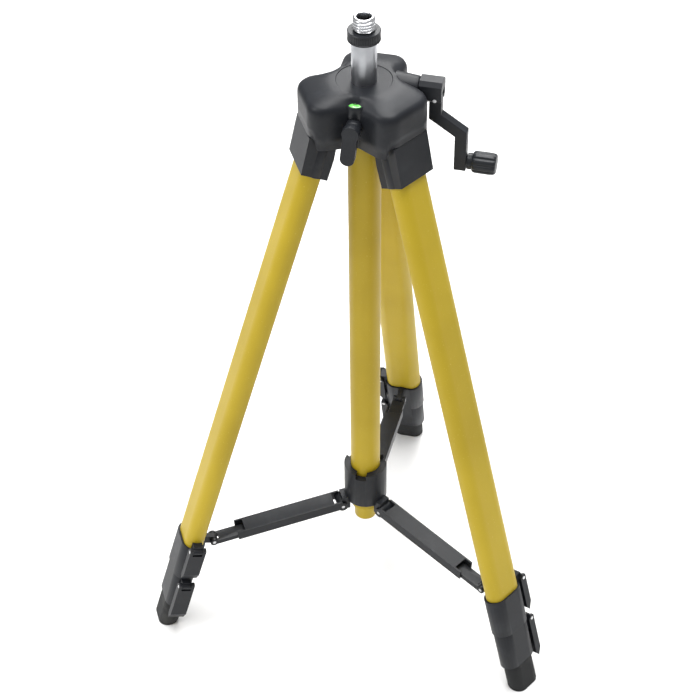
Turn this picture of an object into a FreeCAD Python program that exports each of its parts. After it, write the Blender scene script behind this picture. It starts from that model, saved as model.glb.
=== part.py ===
"""Elevator tripod with a 5/8 inch stud, built as separate pieces around one vertical axis.

Row frame: the tripod's axis is Z, the floor is Z = 0, one leg points to +Y and two to the front.
Leg pieces are drawn in a leg frame: X is the outward normal of the leg, Y runs across it and
Z runs up the leg from the middle of its sole. Brace pieces are drawn along X from their pin.
"""
import FreeCAD, Part
import math
import os
import Sketcher
from FreeCAD import Placement, Rotation, Vector

SIZES = {
    # legs
    "leg_tilt": 17.144,
    "foot_radius": 184.6,
    "tube_half_width": 15.8,
    "tube_half_depth": 8.5,
    "tube_wall": 1.2,
    "tube_gap": 0.4,
    "tube_bottom": 70,
    "tube_top": 503,
    "section_length": 370,
    "middle_bottom": 40,
    "inner_bottom": 12,
    "leg_pin_height": 498,
    "leg_pin_radius": 2.5,
    "leg_pin_reach": 20.5,
    "cap_wall": 1.9,
    "cap_knuckle": 8,
    "cap_low": 480,
    "cap_high": 483,
    "cap_cover": 2,
    "cap_half_width": 17,
    "cap_shoulder": 13.25,
    "cap_shoulder_drop": 6.8,
    "cap_neck": 5,
    # leg collars, levers and feet
    "collar_wall": 1.8,
    "upper_collar_low": 62,
    "upper_collar_high": 98,
    "lower_collar_low": 26,
    "lower_collar_wall": 2.4,
    "joint_gap": 0.5,
    "lever_pin_radius": 1.5,
    "upper_lever_pin": 100,
    "lower_lever_pin": 57,
    "lever_stand": 21.4,
    "lower_lever_inset": 0.8,
    "lever_half_width": 7,
    "lever_back": 3.6,
    "lever_front": 2.4,
    "lever_head": 3.6,
    "lever_slot": 3.4,
    "lever_skin": 1.8,
    "lever_taper": 7,
    "lug_half": 4,
    "lug_root": 2,
    "lug_eye": 2.6,
    "lug_drop": 12,
    "upper_lug_rise": 5,
    "lower_lug_rise": 4,
    "upper_lever_length": 33,
    "lower_lever_length": 40,
    "foot_wall": 1.4,
    "foot_half_depth": 8.5,
    "foot_top": 25.5,
    # crown
    "lobe_reach": 43.5,
    "lobe_half_width": 21.5,
    "lobe_corner": 10,
    "lobe_waist": 12,
    "crown_low": 487,
    "crown_high": 521,
    "crown_edge": 4.5,
    "crown_wall": 3,
    "cheek_gap": 0.5,
    "pocket_high": 508,
    "notch_high": 496,
    "boss_radius": 17.5,
    "rim_radius": 21,
    "rim_high": 525.5,
    "rim_root": 3,
    # centre tube, column and adapter
    "centre_radius": 12.5,
    "centre_wall": 1,
    "centre_low": 92,
    "centre_high": 500,
    "plug_radius": 9.5,
    "plug_low": 75,
    "plug_grip": 14,
    "plug_flange": 1.5,
    "plug_chamfer": 1,
    "column_radius": 9.2,
    "column_bore": 5.12,
    "column_low": 145,
    "column_high": 558.5,
    "column_room": 0.4,
    "spigot_wall": 1.1,
    "spigot_grip": 20,
    "swivel_fit": 0.08,
    "ring_radius": 12,
    "ring_high": 567,
    "stud_radius": 7.9375,
    "stud_high": 577.5,
    "stud_chamfer": 1,
    "stud_relief": 0.7,
    "stud_recess": 0.6,
    "spigot_high": 566,
    "bush_high": 508,
    # rack, crank and knob
    "gear_module": 1,
    "gear_teeth": 12,
    "gear_half": 5.5,
    "gear_room": 1,
    "rack_low": 260,
    "rack_teeth": 94,
    "rack_flat": 8.4,
    "crank_height": 516,
    "shaft_radius": 3,
    "shaft_inner": 8,
    "shaft_grip": 5.8,
    "bearing_radius": 8,
    "bearing_reach": 37.7,
    "fork_start": 38.2,
    "fork_end": 55,
    "fork_depth": 15,
    "fork_low": 508,
    "fork_high": 525,
    "fork_chamfer": 3,
    "fork_slot_rise": 6,
    "fold_pin_reach": 50,
    "fold_pin_height": 511,
    "arm_side": 9,
    "arm_depth": 8,
    "arm_knee": 495,
    "arm_ankle": 482,
    "arm_foot": 451,
    "arm_bend": 2,
    "arm_bend_out": 2.4,
    "spindle_length": 16,
    "arm_reach": 69.5,
    "knob_height": 458,
    "knob_radius": 8.5,
    "knob_neck": 6.2,
    "knob_step": 4,
    "knob_length": 22,
    # bubble level and column lock
    "level_offset": 24,
    "level_radius": 7.85,
    "vial_radius": 6.4,
    "level_low": 513,
    "level_floor": 2,
    "level_high": 521.8,
    "lock_height": 506.5,
    "lock_boss": 5.5,
    "lock_boss_reach": 36,
    "lock_lever_back": 37,
    "lock_lever_depth": 6,
    "lock_lever_radius": 6.3,
    "lock_lever_low": 479.5,
    "lock_lever_taper": 1,
    "lock_lever_skin": 1,
    "lock_screw_radius": 3,
    "lock_screw_tip": 10,
    "lock_lean": 7,
    # spreader
    "hub_radius": 18.3,
    "slide_gap": 0.3,
    "hub_low": 101,
    "hub_high": 138,
    "hub_pin_offset": 22.4,
    "hub_pin_height": 96,
    "hub_lug_half": 5.8,
    "hub_eye": 4.4,
    "hub_lug_sink": 3,
    "hub_lug_lap": 4,
    "hub_notch_half": 4.5,
    "hub_notch_depth": 5,
    "brace_pin_radius": 1.5,
    "leg_lug_offset": 137.4,
    "leg_lug_height": 85,
    "leg_lug_half": 2.5,
    "leg_eye": 3.6,
    "channel_half_width": 7.8,
    "channel_wall": 1.6,
    "channel_drop": 2.8,
    "channel_room": 4.5,
    "channel_short": 21,
    "web_short": 28,
    "web_start": 7,
    "clevis_half_width": 5.9,
    "clevis_trim": 0.2,
    "clevis_gap": 4.5,
    "shank_top": 1.2,
    "shank_bottom": 2.8,
    "shank_length": 58,
    "pin_fit": 0.06,
    "spare": 5,
}

LEGS = {"left": 210, "right": 330, "back": 90}
doc = FreeCAD.newDocument("tripod")
sheet = doc.addObject("Spreadsheet::Sheet", "sizes")
for row, (alias, value) in enumerate(SIZES.items(), start=1):
    sheet.set("A%d" % row, alias)
    sheet.set("B%d" % row, str(value))
    sheet.setAlias("B%d" % row, alias)
doc.recompute()

finished = []


def named(formula):
    """Turn a formula on size names into one on the sheet's cells."""
    words = []
    word = ""
    for letter in str(formula) + " ":
        if letter.isalnum() or letter == "_":
            word += letter
            continue
        words.append("sizes." + word if word in SIZES else word)
        words.append(letter)
        word = ""
    return "".join(words).strip()


def number(formula):
    """The value of a formula, for first positions and for placements."""
    return float(sheet.evalExpression(named(formula)))


def bind(thing, **formulas):
    for size, formula in formulas.items():
        thing.setExpression(size.replace("__", "."), named(formula))
    return thing


def put(thing, x=0, y=0, z=0, turn=None):
    """Give a primitive its turn, then tie its corner or centre to the sheet."""
    if turn:
        thing.Placement = Placement(Vector(), Rotation(Vector(*turn[0]), turn[1]))
    return bind(thing, Placement__Base__x=x, Placement__Base__y=y, Placement__Base__z=z)


ALONG_X = ((0, 1, 0), 90)
ALONG_Y = ((1, 0, 0), -90)


def box(x, y, z, length, width, height):
    """A box from its lowest corner."""
    block = doc.addObject("Part::Box", "block")
    bind(block, Length=length, Width=width, Height=height)
    return put(block, x, y, z)


def rod(radius, height, x=0, y=0, z=0, turn=None):
    """A round bar from the middle of its first end, along Z unless it is turned."""
    bar = doc.addObject("Part::Cylinder", "rod")
    bind(bar, Radius=radius, Height=height)
    return put(bar, x, y, z, turn)


def fuse(*pieces):
    whole = doc.addObject("Part::MultiFuse", "fuse")
    whole.Shapes = list(pieces)
    whole.Refine = True
    return whole


def cut(base, *tools):
    """Take every tool away from the base."""
    left = doc.addObject("Part::Cut", "cut")
    left.Base = base
    left.Tool = tools[0] if len(tools) == 1 else fuse(*tools)
    left.Refine = True
    return left


def turned(placement, piece):
    """A piece in a frame of its own, which is then set in its place."""
    frame = doc.addObject("Part::Compound", "turned")
    frame.Links = [piece]
    frame.Placement = placement
    return frame


def finish(piece, label, placement=None):
    """Name a sub-part and set it in its place."""
    piece.Label = label
    if placement:
        piece.Placement = placement
    finished.append(piece)
    return piece


def new_body(name):
    return doc.addObject("PartDesign::Body", name)


def plane(body, role):
    return next(item for item in body.Origin.OriginFeatures if item.Role == role)


def new_sketch(body, role="XY_Plane", level="0"):
    sketch = body.newObject("Sketcher::SketchObject", "outline")
    sketch.AttachmentSupport = [(plane(body, role), "")]
    sketch.MapMode = "FlatFace"
    bind(sketch, AttachmentOffset__Base__z=level)
    return sketch


def constrain(sketch, kind, *where, formula):
    index = sketch.addConstraint(Sketcher.Constraint(kind, *where, number(formula)))
    sketch.setExpression("Constraints[%d]" % index, named(formula))


def draw_oval(sketch, half_width, half_depth):
    """A flat oval: two half circles along Y joined by straight sides."""
    depth = number(half_depth)
    offset = number("(%s) - (%s)" % (half_width, half_depth))
    up, across = Vector(0, 0, 1), math.pi
    far = Part.ArcOfCircle(Part.Circle(Vector(0, offset, 0), up, depth), 0, across)
    near = Part.ArcOfCircle(Part.Circle(Vector(0, -offset, 0), up, depth), across, 2 * across)
    first = sketch.addGeometry(far)
    second = sketch.addGeometry(near)
    left = sketch.addGeometry(Part.LineSegment(Vector(-depth, offset, 0), Vector(-depth, -offset, 0)))
    right = sketch.addGeometry(Part.LineSegment(Vector(depth, -offset, 0), Vector(depth, offset, 0)))
    joints = [(first, 2, left, 1), (left, 2, second, 1), (second, 2, right, 1), (right, 2, first, 1)]
    for joint in joints:
        sketch.addConstraint(Sketcher.Constraint("Tangent", *joint))
    sketch.addConstraint(Sketcher.Constraint("PointOnObject", first, 3, -2))
    sketch.addConstraint(Sketcher.Constraint("PointOnObject", second, 3, -2))
    constrain(sketch, "Radius", first, formula=half_depth)
    constrain(sketch, "DistanceY", -1, 1, first, 3, formula="(%s) - (%s)" % (half_width, half_depth))
    constrain(sketch, "DistanceY", second, 3, -1, 1, formula="(%s) - (%s)" % (half_width, half_depth))


def draw_outline(sketch, corners):
    """A closed outline of straight lines, each corner tied to the sheet."""
    places = [Vector(number(x), number(y), 0) for x, y in corners]
    for index, place in enumerate(places):
        sketch.addGeometry(Part.LineSegment(place, places[(index + 1) % len(places)]))
    for index, (x, y) in enumerate(corners):
        before = (index - 1) % len(corners)
        sketch.addConstraint(Sketcher.Constraint("Coincident", before, 2, index, 1))
        for kind, formula in (("DistanceX", x), ("DistanceY", y)):
            constrain(sketch, kind, -1, 1, index, 1, formula=formula)


def pad(body, sketch, length, middle=False):
    feature = body.newObject("PartDesign::Pad", "pad")
    feature.Profile = sketch
    feature.Midplane = middle
    sketch.Visibility = False
    return bind(feature, Length=length)


def oval_bar(half_width, half_depth, low, high, hole=None):
    """An oval bar up the leg, with an oval hole right through it if one is given."""
    body = new_body("oval")
    sketch = new_sketch(body, level=low)
    draw_oval(sketch, half_width, half_depth)
    if hole:
        draw_oval(sketch, *hole)
    pad(body, sketch, "(%s) - (%s)" % (high, low))
    return body


def plate(corners, half_width, role="XZ_Plane"):
    """A plate with its outline in an upright plane, as wide to each side of that plane."""
    body = new_body("plate")
    sketch = new_sketch(body, role)
    draw_outline(sketch, corners)
    pad(body, sketch, "2 * (%s)" % half_width, middle=True)
    return body


def revolved(profile):
    """A turned piece: the outline's first number is the radius, the second the height."""
    body = new_body("turned")
    sketch = new_sketch(body, "XZ_Plane")
    draw_outline(sketch, profile)
    turned = body.newObject("PartDesign::Revolution", "turned")
    turned.Profile = sketch
    turned.ReferenceAxis = (sketch, ["V_Axis"])
    turned.Angle = 360
    sketch.Visibility = False
    return body


def around(azimuth):
    return Placement(Vector(), Rotation(Vector(0, 0, 1), azimuth))


def leg_place(azimuth):
    """The leg frame: its origin is the middle of the sole and its Z runs up the leg."""
    lean = Rotation(Vector(0, 1, 0), -number("leg_tilt"))
    return around(azimuth) * Placement(Vector(number("foot_radius"), 0, 0), lean)


def leg_point(offset, height):
    """Formulas of a row-frame point (radius, height) as the leg frame's X and Z."""
    values = {"r": "((%s) - foot_radius)" % offset, "z": "(%s)" % height}
    tilt = "(leg_tilt * 1 deg)"
    outward = "({r} * cos{t} + {z} * sin{t})".format(t=tilt, **values)
    upward = "({z} * cos{t} - {r} * sin{t})".format(t=tilt, **values)
    return outward, upward


# the leg pin lies on the leg's middle line
PIN_OFFSET = "(foot_radius - leg_pin_height * tan(leg_tilt * 1 deg))"
PIN_UP = "(leg_pin_height / cos(leg_tilt * 1 deg))"
EYE_OUT, EYE_UP = leg_point("leg_lug_offset", "leg_lug_height")
MIDDLE_WIDTH = "(tube_half_width - tube_wall - tube_gap)"
MIDDLE_DEPTH = "(tube_half_depth - tube_wall - tube_gap)"
LOWER_STAND = "(lever_stand - lower_lever_inset)"
SLEEVE_DEPTH = "(tube_half_depth + cap_wall)"
GEAR_OFFSET = "(rack_flat + gear_module * (gear_teeth / 2 - 1))"
GEAR_TIP = "(gear_module * (gear_teeth / 2 + 1))"
TOOTH_ROOT = "(0.82 * gear_module)"
TOOTH_PITCH = "(0.5 * gear_module)"
TOOTH_TIP = "(0.14 * gear_module)"
GAP_MOUTH = "(1.15 * gear_module)"
GAP_FLOOR = "(0.6 * gear_module)"
GAP_DEPTH = "(2.25 * gear_module)"
GAP_OVER = "(0.2 * gear_module)"
SHANK = {"z": "-shank_bottom", "height": "shank_bottom + shank_top"}
INNER_WIDTH = "(tube_half_width - 2 * (tube_wall + tube_gap))"
INNER_DEPTH = "(tube_half_depth - 2 * (tube_wall + tube_gap))"


def wider(half_width, half_depth, extra):
    return "%s + %s" % (half_width, extra), "%s + %s" % (half_depth, extra)


def across_rod(radius, half_length, x, z):
    """A round bar along Y, centred on the XZ plane."""
    return rod(radius, "2 * (%s)" % half_length, x, "-(%s)" % half_length, z, ALONG_Y)


def build_leg_cap():
    """Moulded cap: a knuckle on the leg pin, a stop shoulder and a sleeve with a sloping end."""
    sleeve = oval_bar(*wider("tube_half_width", "tube_half_depth", "cap_wall"),
                      "cap_low - spare", "tube_top + cap_cover")
    back = "-" + SLEEVE_DEPTH
    corners = [(back, "cap_low - spare"), (back, "tube_top - spare"), ("-cap_knuckle", PIN_UP),
               ("cap_knuckle", PIN_UP), ("cap_knuckle", PIN_UP + " - cap_neck"),
               ("cap_shoulder", PIN_UP + " - cap_shoulder_drop"), (SLEEVE_DEPTH, "cap_low - spare")]
    head = plate(corners, "cap_half_width")
    knuckle = across_rod("cap_knuckle", "cap_half_width", "0", PIN_UP)
    whole = fuse(sleeve, head, knuckle)
    socket = oval_bar("tube_half_width", "tube_half_depth", "cap_low - 2 * spare", "tube_top")
    eye = across_rod("leg_pin_radius + pin_fit", "cap_half_width + spare", "0", PIN_UP)
    slope = [("-2 * cap_shoulder", "cap_low"), ("-" + SLEEVE_DEPTH, "cap_low"),
             (SLEEVE_DEPTH, "cap_high"), ("2 * cap_shoulder", "cap_high"),
             ("2 * cap_shoulder", "cap_low - 2 * spare"), ("-2 * cap_shoulder", "cap_low - 2 * spare")]
    end = plate(slope, "tube_half_width + cap_wall + spare")
    return cut(whole, socket, eye, end)


def lever_lug(root, out, up, rise):
    """Block on a collar's side with a round eye for the pin of its flip lever."""
    block = box("-lug_half", root, "%s - lug_drop" % up, "2 * lug_half", "%s - (%s)" % (out, root),
                "lug_drop + %s" % rise)
    return fuse(block, rod("lug_eye", "2 * lug_half", "-lug_half", out, up, ALONG_X))


def lever_hole(radius, out, up):
    """Tool for the pin's hole, right through the lug or the lever."""
    return rod(radius, "2 * (lever_half_width + spare)", "-(lever_half_width + spare)", out, up, ALONG_X)


def build_upper_collar():
    """Clamp collar on the upper tube, with a lever lug and the eye of the brace."""
    sleeve = oval_bar(*wider("tube_half_width", "tube_half_depth", "collar_wall"),
                      "upper_collar_low", "upper_collar_high")
    lug = lever_lug("tube_half_width - lug_root", "lever_stand", "upper_lever_pin", "upper_lug_rise")
    brace_lug = box("%s" % EYE_OUT, "-leg_lug_half", "%s - leg_eye" % EYE_UP,
                    "-(%s) - tube_half_depth" % EYE_OUT, "2 * leg_lug_half", "2 * leg_eye")
    eye = across_rod("leg_eye", "leg_lug_half", EYE_OUT, EYE_UP)
    whole = fuse(sleeve, lug, brace_lug, eye)
    seat = oval_bar("tube_half_width", "tube_half_depth", "tube_bottom", "upper_collar_high + 2 * spare")
    guide = oval_bar(*wider(MIDDLE_WIDTH, MIDDLE_DEPTH, "slide_gap"),
                     "upper_collar_low - spare", "tube_bottom + tube_gap")
    pin_hole = across_rod("brace_pin_radius", "leg_lug_half + spare", EYE_OUT, EYE_UP)
    return cut(whole, seat, guide, pin_hole,
               lever_hole("lever_pin_radius", "lever_stand", "upper_lever_pin"))


def build_lower_collar():
    """Clamp collar on the middle tube, with its own lever lug."""
    sleeve = oval_bar(*wider(MIDDLE_WIDTH, MIDDLE_DEPTH, "lower_collar_wall"),
                      "lower_collar_low", "upper_collar_low - joint_gap")
    lug = lever_lug(MIDDLE_WIDTH, LOWER_STAND, "lower_lever_pin", "lower_lug_rise")
    whole = fuse(sleeve, lug)
    seat = oval_bar(MIDDLE_WIDTH, MIDDLE_DEPTH, "middle_bottom", "upper_collar_low + spare")
    guide = oval_bar(*wider(INNER_WIDTH, INNER_DEPTH, "slide_gap"),
                     "lower_collar_low - spare", "middle_bottom + tube_gap")
    return cut(whole, seat, guide, lever_hole("lever_pin_radius", LOWER_STAND, "lower_lever_pin"))


def build_lever(out, up, length):
    """Flip lever: a fork on its lug and a closed blade that lies along the collar's side."""
    corners = [("{o} - 1", "{u} + lever_head"), ("{o} + lever_front", "{u} + lever_front"),
               ("{o} + lever_front", "{u} - {l} + lever_taper"), ("{o} - 1", "{u} - {l}"),
               ("{o} - lever_back", "{u} - {l} + lever_back"), ("{o} - lever_back", "{u}")]
    names = {"o": out, "u": up, "l": length}
    corners = [(x.format(**names), z.format(**names)) for x, z in corners]
    whole = plate(corners, "lever_half_width", "YZ_Plane")
    side, width = "-(lug_half + slide_gap)", "2 * (lug_half + slide_gap)"
    inner = "%s - lever_back - spare" % out
    behind = box(side, inner, "%s - lug_drop - lug_root" % up, width,
                 "lever_back + spare + lever_front - lever_skin", "lug_drop + lug_root + 2 * spare")
    above = box(side, inner, "%s - lever_slot" % up, width,
                "lever_back + lever_front + 2 * spare", "lever_slot + 2 * spare")
    return cut(whole, behind, above, lever_hole("lever_pin_radius + pin_fit", out, up))


def build_foot():
    """Moulded foot on the inner tube, with a flat sole that lies on the floor."""
    whole = oval_bar(INNER_WIDTH + " + foot_wall", "foot_half_depth", "-foot_half_depth", "foot_top")
    socket = oval_bar(INNER_WIDTH, INNER_DEPTH, "inner_bottom", "foot_top + spare")
    slope = "2 * foot_half_depth * tan(leg_tilt * 1 deg)"
    below = [("-2 * foot_half_depth", slope), ("2 * foot_half_depth", "-" + slope),
             ("2 * foot_half_depth", "-3 * foot_half_depth"),
             ("-2 * foot_half_depth", "-3 * foot_half_depth")]
    return cut(whole, socket, plate(below, "tube_half_width + spare"))


def build_leg(side, azimuth):
    place = leg_place(azimuth)

    def add(piece, label):
        finish(piece, "%s_%s" % (side, label), place)

    add(build_leg_cap(), "leg_cap")
    add(oval_bar("tube_half_width", "tube_half_depth", "tube_bottom", "tube_top",
                 hole=("tube_half_width - tube_wall", "tube_half_depth - tube_wall")), "upper_tube")
    add(oval_bar(MIDDLE_WIDTH, MIDDLE_DEPTH, "middle_bottom", "middle_bottom + section_length",
                 hole=wider(MIDDLE_WIDTH, MIDDLE_DEPTH, "-tube_wall")), "middle_tube")
    add(oval_bar(INNER_WIDTH, INNER_DEPTH, "inner_bottom", "inner_bottom + section_length",
                 hole=wider(INNER_WIDTH, INNER_DEPTH, "-tube_wall")), "inner_tube")
    add(build_upper_collar(), "upper_collar")
    add(build_lower_collar(), "lower_collar")
    add(fuse(across_rod("brace_pin_radius", "clevis_half_width", EYE_OUT, EYE_UP),
             rod("lever_pin_radius", "2 * lever_half_width", "-lever_half_width",
                 "lever_stand", "upper_lever_pin", ALONG_X)), "upper_pins")
    lower_pin = rod("lever_pin_radius", "2 * lever_half_width", "-lever_half_width",
                    LOWER_STAND, "lower_lever_pin", ALONG_X)
    add(turned(Placement(), lower_pin), "lower_pin")
    add(build_lever("lever_stand", "upper_lever_pin", "upper_lever_length"), "upper_lever")
    add(build_lever(LOWER_STAND, "lower_lever_pin", "lower_lever_length"), "lower_lever")
    add(build_foot(), "foot")


def fillet(body, feature, radius, wanted):
    """Round the edges of a feature that wanted() picks."""
    doc.recompute()
    edges = enumerate(feature.Shape.Edges, start=1)
    names = ["Edge%d" % index for index, edge in edges if wanted(edge)]
    soft = body.newObject("PartDesign::Fillet", "fillet")
    soft.Base = (feature, names)
    return bind(soft, Radius=radius)


def crown_blank():
    """Three round-ended lobes with hollow waists between them."""
    body = new_body("crown")
    sketch = new_sketch(body, level="crown_low")
    corners = []
    for azimuth in sorted(LEGS.values()):
        for side in (-1, 1):
            corners.append(("lobe_reach * cos({a} deg) - {s} * lobe_half_width * sin({a} deg)",
                            "lobe_reach * sin({a} deg) + {s} * lobe_half_width * cos({a} deg)",
                            azimuth, side))
        corners.append(("lobe_half_width / sin(60 deg) * cos({a} deg)",
                        "lobe_half_width / sin(60 deg) * sin({a} deg)", azimuth + 60, 0))
    draw_outline(sketch, [(x.format(a=a, s=s), y.format(a=a, s=s)) for x, y, a, s in corners])
    blank = pad(body, sketch, "crown_high - crown_low")

    def upright(edge, low, high):
        ends = edge.BoundBox
        reach = math.hypot(ends.Center.x, ends.Center.y)
        return ends.ZLength > 10 and low < reach < high

    waist = number("lobe_half_width / sin(60 deg)")
    soft = fillet(body, blank, "lobe_waist", lambda edge: upright(edge, waist - 1, waist + 1))
    tip = number("sqrt(lobe_reach * lobe_reach + lobe_half_width * lobe_half_width)")
    soft = fillet(body, soft, "lobe_corner", lambda edge: upright(edge, tip - 1, tip + 1))
    level = number("crown_high") - 0.01
    fillet(body, soft, "crown_edge", lambda edge: edge.BoundBox.ZMin > level)
    return body


def crown_pocket(azimuth):
    """The room for one leg cap: the hollow, the notch under the end wall and the pin's seat."""
    inside = "(lobe_half_width - crown_wall - cheek_gap)"
    hollow = box("boss_radius", "-" + inside, "crown_low - spare",
                 "lobe_reach - crown_wall - boss_radius", "2 * " + inside,
                 "pocket_high - crown_low + spare")
    notch = box("lobe_reach - crown_wall - spare", "-" + inside, "crown_low - spare",
                "crown_wall + 2 * spare", "2 * " + inside, "notch_high - crown_low + spare")
    seat = across_rod("leg_pin_radius", "leg_pin_reach", PIN_OFFSET, "leg_pin_height")
    return turned(around(azimuth), fuse(hollow, notch, seat))


def build_crown():
    bearing = rod("bearing_radius", "bearing_reach - centre_radius", "centre_radius",
                  GEAR_OFFSET, "crank_height", ALONG_X)
    boss = rod("lock_boss", "lock_boss_reach - boss_radius", "0",
               "-lock_boss_reach", "lock_height", ALONG_Y)
    rim = rod("rim_radius", "rim_high - crown_high + rim_root", z="crown_high - rim_root")
    whole = fuse(crown_blank(), bearing, boss, rim)
    tools = [crown_pocket(azimuth) for azimuth in LEGS.values()]
    tools += [
        rod("centre_radius", "bush_high - crown_low + spare", z="crown_low - spare"),
        rod("column_radius + column_room", "rim_high - bush_high + 2 * spare", z="bush_high - spare"),
        rod(GEAR_TIP + " + column_room", "2 * (gear_half + gear_room)", "-(gear_half + gear_room)",
            GEAR_OFFSET, "crank_height", ALONG_X),
        rod("shaft_radius + pin_fit", "shaft_inner + gear_room + bearing_reach + spare",
            "-(shaft_inner + gear_room)", GEAR_OFFSET, "crank_height", ALONG_X),
        rod("lock_screw_radius + pin_fit", "lock_boss_reach", "0",
            "-(lock_boss_reach + cheek_gap)", "lock_height", ALONG_Y),
        rod("level_radius", "rim_high - level_low + spare", "0", "-level_offset", "level_low"),
    ]
    finish(cut(whole, *tools), "crown_body")
    pins = []
    for azimuth in LEGS.values():
        pin = across_rod("leg_pin_radius", "leg_pin_reach", PIN_OFFSET, "leg_pin_height")
        pins.append(turned(around(azimuth), pin))
    finish(fuse(*pins), "leg_hinge_pins")


def build_level():
    cup = rod("level_radius", "level_high - level_low", "0", "-level_offset", "level_low")
    well = rod("vial_radius", "level_high - level_low", "0", "-level_offset", "level_low + level_floor")
    finish(cut(cup, well), "level_housing")
    vial = rod("vial_radius", "level_high - level_low - level_floor", "0", "-level_offset",
               "level_low + level_floor")
    finish(vial, "level_vial")


def build_centre():
    """The fixed tube under the crown, its end plug and the guide bush of the column."""
    tube = [("centre_radius - centre_wall", "centre_low"), ("centre_radius", "centre_low"),
            ("centre_radius", "centre_high"), ("centre_radius - centre_wall", "centre_high")]
    finish(revolved(tube), "centre_tube")
    flange = "centre_low - plug_flange"
    plug = [("0", "plug_low"), ("plug_radius - plug_chamfer", "plug_low"),
            ("plug_radius", "plug_low + plug_chamfer"), ("plug_radius", flange),
            ("centre_radius", flange), ("centre_radius", "centre_low"),
            ("centre_radius - centre_wall", "centre_low"),
            ("centre_radius - centre_wall", "centre_low + plug_grip"), ("0", "centre_low + plug_grip")]
    finish(revolved(plug), "centre_tube_plug")
    bush = [("column_radius + pin_fit", "centre_high"), ("centre_radius", "centre_high"),
            ("centre_radius", "bush_high"), ("column_radius + pin_fit", "bush_high")]
    screw = rod("lock_screw_radius + pin_fit", "centre_radius + spare", "0", "-(centre_radius + spare)",
                "lock_height", ALONG_Y)
    finish(cut(revolved(bush), screw), "column_bush")


def build_column():
    """Round column with a flat toothed back, its swivel spigot, ring and threaded stud."""
    body = new_body("column")
    sketch = new_sketch(body, level="column_low")
    radius, level = number("column_radius"), number("rack_flat")
    half = math.sqrt(radius ** 2 - level ** 2)
    start, end = math.atan2(level, -half), math.atan2(level, half) + 2 * math.pi
    circle = Part.Circle(Vector(0, 0, 0), Vector(0, 0, 1), radius)
    arc = sketch.addGeometry(Part.ArcOfCircle(circle, start, end))
    flat = sketch.addGeometry(Part.LineSegment(Vector(half, level, 0), Vector(-half, level, 0)))
    hole = sketch.addGeometry(Part.Circle(Vector(0, 0, 0), Vector(0, 0, 1), number("column_bore")))
    for joint in ((arc, 2, flat, 1), (flat, 2, arc, 1), (arc, 3, -1, 1), (hole, 3, -1, 1)):
        sketch.addConstraint(Sketcher.Constraint("Coincident", *joint))
    sketch.addConstraint(Sketcher.Constraint("Horizontal", flat))
    constrain(sketch, "Radius", arc, formula="column_radius")
    constrain(sketch, "Radius", hole, formula="column_bore")
    constrain(sketch, "DistanceY", -1, 1, flat, 1, formula="rack_flat")
    solid = pad(body, sketch, "column_high - column_low")
    gap = new_sketch(body, "YZ_Plane")
    bottom, top = "rack_flat - " + GAP_DEPTH, "rack_flat + " + GAP_OVER
    middle = "crank_height + gear_module * pi * %d" % round(
        (number("rack_low") - number("crank_height")) / (number("gear_module") * math.pi))
    draw_outline(gap, [(bottom, "%s - %s" % (middle, GAP_FLOOR)), (bottom, "%s + %s" % (middle, GAP_FLOOR)),
                       (top, "%s + %s" % (middle, GAP_MOUTH)), (top, "%s - %s" % (middle, GAP_MOUTH))])
    first = body.newObject("PartDesign::Pocket", "gap")
    first.Profile = gap
    first.Midplane = True
    bind(first, Length="4 * column_radius")
    rack = body.newObject("PartDesign::LinearPattern", "rack")
    rack.Originals = [first]
    rack.Direction = (gap, ["V_Axis"])
    bind(rack, Length="gear_module * pi * (rack_teeth - 1)", Occurrences="rack_teeth")
    body.Tip = rack
    doc.recompute()
    if not rack.Shape.Volume < solid.Shape.Volume:
        raise ValueError("the rack is not cut")
    finish(body, "column")
    inside, foot = "column_bore - spigot_wall", "column_high - spigot_grip"
    spigot = [(inside, foot), ("column_bore", foot), ("column_bore", "spigot_high"),
              (inside, "spigot_high")]
    finish(revolved(spigot), "swivel_spigot")
    bore, low, seat = "column_bore + swivel_fit", "column_high + slide_gap", "ring_high - stud_recess"
    ring = [(bore, low), ("ring_radius", low), ("ring_radius", "ring_high"),
            ("stud_radius + swivel_fit", "ring_high"), ("stud_radius + swivel_fit", seat), (bore, seat)]
    finish(revolved(ring), "knurled_ring")
    neck = "stud_radius - stud_relief"
    stud = [(bore, seat), (neck, seat), (neck, "ring_high"), ("stud_radius", "ring_high"),
            ("stud_radius", "stud_high - stud_chamfer"), ("stud_radius - stud_chamfer", "stud_high"),
            (bore, "stud_high")]
    finish(revolved(stud), "threaded_stud")


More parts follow.
